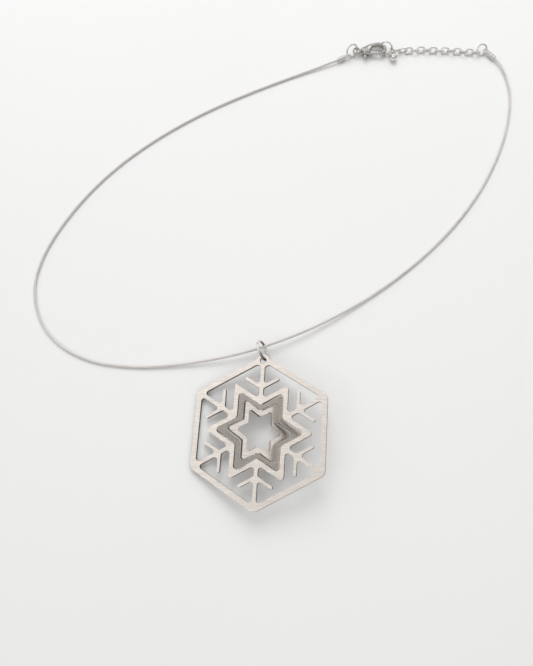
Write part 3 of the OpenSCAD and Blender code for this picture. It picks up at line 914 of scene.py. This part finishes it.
def clasp_shell():
    parts = []
    # eye: flattened ring
    eye = sweep(circle_points(1.18, 72), np.c_[0.33 * np.cos(np.linspace(0, 2 * np.pi, 16, endpoint=False)),
                                               0.47 * np.sin(np.linspace(0, 2 * np.pi, 16, endpoint=False))], closed=True)
    parts.append(eye)
    parts += ball_chain([(1.35, 0, 0), (2.3, -0.05, 0)], [0.62, 0.9], [0.5, 0.9], step=0.08)
    # cheeks: cushion over the pivot
    parts += ball_chain([(2.35, -0.1, 0), (3.3, -0.75, 0)], [1.05, 1.45], [1.15, 1.42], 0.62, 0.08)
    parts += ball_chain([(2.35, -0.1, 0), (4.9, 0.85, 0)], [1.05, 0.86], [1.15, 1.12], 0.62, 0.08)
    parts += ball_chain([(3.3, -0.75, 0), (4.9, 0.85, 0)], [1.45, 0.86], [1.42, 1.12], 0.62, 0.08)
    # fixed jaw: long arc, hook, round tip
    a = np.radians(np.linspace(125.3, 90, 30))
    back = np.c_[HOOK_C[0] + BACK_R * np.cos(a), HOOK_C[1] + HOOK_R - BACK_R + BACK_R * np.sin(a), 0 * a]
    c = np.radians(np.linspace(90, -75, 50))
    hook = np.c_[HOOK_C[0] + HOOK_R * np.cos(c), HOOK_C[1] + HOOK_R * np.sin(c), 0 * c]
    path = np.vstack([back, hook[1:]])
    s = np.linspace(0, 1, len(path))
    rad = np.interp(s, [0, 0.3, 0.75, 1], [0.80, 0.80, 0.78, 0.70])
    hgt = np.interp(s, [0, 0.25, 0.6, 1], [1.0, 0.82, 0.80, 0.76])
    parts += ball_chain(path, rad, hgt, 0.85, 0.08)
    cuts = []
    slot_h = 0.565
    grow = 0.15
    for swing in (0, 14, 28):
        r2 = rot("z", swing)[:2, :2]
        for p0, p1, r0, r1 in (((0.4, 0.05), (4.0, -0.85), 0.85, 0.5), ((-0.15, -0.4), (-0.55, -1.9), 0.65, 0.5)):
            o = pill(np.array(p0), np.array(p1), r0 + grow, r1 + grow)
            # each cut is a hair taller than the last, so that no two of their ends lie in one plane
            slot_h += 0.0015
            cuts.append(prism(o @ r2.T + PIVOT, -slot_h, slot_h))
    a = np.linspace(0, 2 * np.pi, 48, endpoint=False)
    hub = np.c_[PIVOT[0] + 1.25 * np.cos(a), PIVOT[1] + 1.25 * np.sin(a)]
    cuts.append(prism(hub, -slot_h - 0.0015, slot_h + 0.0015))
    v, f = fused(parts, 0.06, 4, cuts=cuts)
    # pivot pin with slightly domed heads
    head = lathe([(-1.445, 0.0), (-1.44, 0.24), (-1.42, 0.33), (-1.38, 0.37), (-1.30, 0.38), (1.30, 0.38),
                  (1.38, 0.37), (1.42, 0.33), (1.44, 0.24), (1.445, 0.0)], 40)
    hv = head[0] @ rot("y", 90).T + np.array([PIVOT[0], PIVOT[1], 0])
    v, f = joined([(v, f), (hv, head[1])])
    v = v @ rot("z", CLASP_TURN).T + CLASP_AT
    f, used = without_collapsed(v, f)
    v = v[used]
    return piece("clasp_shell", v, f, MAT_CLASP, stands_for="clasp_body")


clasp = clasp_shell()
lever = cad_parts["clasp_lever"]
lever.data.materials.clear()
lever.data.materials.append(MAT_LEVER)
w = lever.modifiers.new("weld", "WELD")
w.merge_threshold = 2e-6
d = lever.modifiers.new("flat", "DECIMATE")
d.decimate_type = "DISSOLVE"
d.angle_limit = math.radians(0.6)
b = lever.modifiers.new("edges", "BEVEL")
b.width = 1.4e-4
b.segments = 3
b.limit_method = "ANGLE"
b.angle_limit = math.radians(34)
b.use_clamp_overlap = True
lever.data.polygons.foreach_set("use_smooth", [True] * len(lever.data.polygons))
wn = lever.modifiers.new("normals", "WEIGHTED_NORMAL")
wn.keep_sharp = False


# ------------------------------------------------------------------ drop
def chain_drop():
    """Solid teardrop with a soldered loop."""
    prof = [(0.75, 0.0), (0.78, 0.24), (0.95, 0.30), (1.12, 0.42), (1.32, 0.66), (1.50, 0.86)]
    for a in np.linspace(128, 4, 26):
        prof.append((2.3 + 1.33 * math.cos(math.radians(a)), 1.33 * math.sin(math.radians(a))))
    prof.append((2.3 + 1.33, 0.0))
    body_v, body_f = lathe(prof, 48)
    lift = np.clip((body_v[:, 0] - 0.8) / 1.5, 0, 1)
    body_v[:, 2] += 0.25 * lift * lift * (3 - 2 * lift)
    loop = sweep(circle_points(0.8, 80), disc(0.25, 20), closed=True)
    lv = loop[0] @ rot("x", -52).T
    v, f = fused([(body_v, body_f), (lv, loop[1])], 0.05, 3)
    v = v @ rot("z", -54.6).T + np.array([35.267, 59.776, 1.15])
    return piece("drop", v, f, MAT_DROP, stands_for="chain_drop")


drop = chain_drop()


# ------------------------------------------------------------------ extension chain
def oval_points(length, width, n=20):
    r, s = width / 2, length / 2 - width / 2
    a = np.linspace(-np.pi / 2, np.pi / 2, n)
    right = np.c_[s + r * np.cos(a), r * np.sin(a)]
    left = np.c_[-s - r * np.cos(a), -r * np.sin(a)]
    p = np.vstack([right, left])
    return np.c_[p, np.zeros(len(p))]


def link_pose(at, heading, slope, roll):
    return rot("z", heading) @ rot("y", -slope) @ rot("x", roll), np.asarray(at, float)


def extension_chain():
    parts = []
    oval = oval_points(2.9, 1.9)
    v0, f0 = sweep(oval, disc(0.25, 14), closed=True)
    # a soldered seam on one long side of each link
    seam = np.exp(-((v0[:, 0] / 0.16) ** 2)) * (v0[:, 1] > 0)
    mid = np.array([0.0, 0.95, 0.0])
    v0 = v0 + seam[:, None] * (v0 - mid - np.c_[v0[:, 0], 0 * v0[:, 0], 0 * v0[:, 0]]) * 0.10
    for at, heading, slope, roll in LINKS:
        m, c = link_pose(at, heading, slope, roll)
        parts.append((v0 @ m.T + c, f0))
    v, f = joined(parts)
    return piece("chain_links", v, f, MAT_CHAIN, stands_for="extension_chain")


# place, heading, slope and roll of each link, from the clasp's side
LINKS = [((36.15, 60.45, 1.60), 14.0, -43.14, 9.32), ((37.86, 61.30, 0.80), 12.0, 0.0, -35.38),
         ((40.01, 61.32, 1.19), 2.75, 0.0, -82.4), ((42.18, 61.52, 0.95), 8.37, 0.0, 45.62),
         ((44.49, 61.90, 0.95), 4.16, 0.0, -45.71), ((46.70, 62.21, 0.86), 4.16, 0.0, 38.59),
         ((48.91, 62.30, 1.02), 2.01, 0.0, -51.93), ((51.12, 62.28, 0.89), 1.99, 0.0, 41.84),
         ((53.34, 62.28, 0.93), 1.51, 0.0, -44.9), ((55.55, 62.46, 0.88), -1.12, 0.0, 40.02),
         ((57.76, 62.51, 1.01), 0.0, 0.0, -51.74), ((59.97, 62.41, 0.88), -0.07, 0.0, 39.87),
         ((62.18, 62.29, 1.05), 0.01, 0.0, -56.77), ((64.38, 62.40, 0.82), 0.24, 0.0, 36.52),
         ((66.60, 62.40, 1.10), 1.6, 0.0, -53.5)]
chain = extension_chain()


# ------------------------------------------------------------------ floor
def floor_material():
    s = Shade("pale_floor")
    tc = s.node("ShaderNodeTexCoord")
    p = tc.outputs["Object"]
    soft = s.noise(p, 6.0, 2.0, 0.5)
    fine = s.noise(p, 900.0, 2.0, 0.5)
    color = s.ramp(s.math("ADD", s.math("MULTIPLY", soft, 0.8), s.math("MULTIPLY", fine, 0.2)),
                   [(0.3, (0.835, 0.842, 0.846)), (0.7, (0.855, 0.862, 0.866))])
    return s.finish(color, 0.62, s.bump(fine, 1.5e-5, 0.5), metallic=0.0)


FLOOR_Z = -0.015 * MM
me = mesh_from("floor", [(-3, -3, FLOOR_Z), (3, -3, FLOOR_Z), (3, 3, FLOOR_Z), (-3, 3, FLOOR_Z)], [(0, 1, 2, 3)])
floor = add_object("floor", me)
me.materials.append(floor_material())


# ------------------------------------------------------------------ light
def world_light():
    world = bpy.data.worlds.new("studio")
    scene.world = world
    world.use_nodes = True
    nt = world.node_tree
    nt.nodes.clear()
    tc = nt.nodes.new("ShaderNodeTexCoord")
    nrm = nt.nodes.new("ShaderNodeVectorMath")
    nrm.operation = "NORMALIZE"
    nt.links.new(tc.outputs["Generated"], nrm.inputs[0])
    total = None

    def lobe(direction, inner, outer, gain):
        """Smooth spot of light (or dimming) round a direction, in degrees."""
        nonlocal total
        dot = nt.nodes.new("ShaderNodeVectorMath")
        dot.operation = "DOT_PRODUCT"
        nt.links.new(nrm.outputs[0], dot.inputs[0])
        d = Vector(direction).normalized()
        dot.inputs[1].default_value = d
        mr = nt.nodes.new("ShaderNodeMapRange")
        mr.interpolation_type = "SMOOTHSTEP"
        nt.links.new(dot.outputs["Value"], mr.inputs["Value"])
        mr.inputs["From Min"].default_value = math.cos(math.radians(outer))
        mr.inputs["From Max"].default_value = math.cos(math.radians(inner))
        mr.inputs["To Min"].default_value = 0.0
        mr.inputs["To Max"].default_value = gain
        add = nt.nodes.new("ShaderNodeMath")
        add.operation = "ADD"
        nt.links.new(mr.outputs["Result"], add.inputs[0])
        if total is None:
            add.inputs[1].default_value = BASE
        else:
            nt.links.new(total, add.inputs[1])
        total = add.outputs[0]

    BASE = 0.18
    lobe((0, 0, 1), 15, 78, 0.52)
    lobe((-0.62, 0.62, 0.48), 10, 60, 0.59)
    lobe((0.712, 0.30, 0.686), 8, 30, 0.46)
    lobe((0.226, 0.06, 0.966), 4, 24, -0.41)
    lobe((0.1, 0.9, 0.42), 10, 60, 0.22)
    lobe((0.0, -0.78, 0.62), 12, 50, 0.24)
    lobe((-0.92, -0.1, 0.38), 12, 45, 0.16)
    # two small lamps that give the wires their highlights
    lobe((-0.62, -0.42, 0.66), 4, 9, 3.2)
    lobe((0.30, 0.84, 0.45), 4, 10, 2.6)
    # warm and dim near the horizon, white above
    high = nt.nodes.new("ShaderNodeSeparateXYZ")
    nt.links.new(nrm.outputs[0], high.inputs[0])
    ramp = nt.nodes.new("ShaderNodeValToRGB")
    nt.links.new(high.outputs["Z"], ramp.inputs["Fac"])
    ramp.color_ramp.elements[0].position = 0.05
    ramp.color_ramp.elements[0].color = (0.80, 0.66, 0.56, 1.0)
    ramp.color_ramp.elements[1].position = 0.45
    ramp.color_ramp.elements[1].color = (1.0, 0.992, 0.98, 1.0)
    bg = nt.nodes.new("ShaderNodeBackground")
    nt.links.new(ramp.outputs["Color"], bg.inputs["Color"])
    nt.links.new(total, bg.inputs["Strength"])
    out = nt.nodes.new("ShaderNodeOutputWorld")
    nt.links.new(bg.outputs[0], out.inputs["Surface"])


world_light()


def area(name, at, look, size, energy, color=(1, 1, 1)):
    data = bpy.data.lights.new(name, "AREA")
    data.shape = "DISK"
    data.size = size
    data.energy = energy
    data.color = color
    o = bpy.data.objects.new(name, data)
    scene.collection.objects.link(o)
    o.location = Vector(at)
    o.rotation_mode = "QUATERNION"
    o.rotation_quaternion = (Vector(look) - Vector(at)).to_track_quat("-Z", "Y")
    # lights the scene softly, but leaves no glare in the metal
    o.visible_glossy = False
    return o


area("back_light", (-0.05, 0.42, 0.48), (0.0, 0.05, 0.0), 0.45, 1.6)

scene.view_settings.view_transform = "Standard"
scene.view_settings.look = "None"
scene.view_settings.exposure = 0.0
scene.view_settings.gamma = 1.0
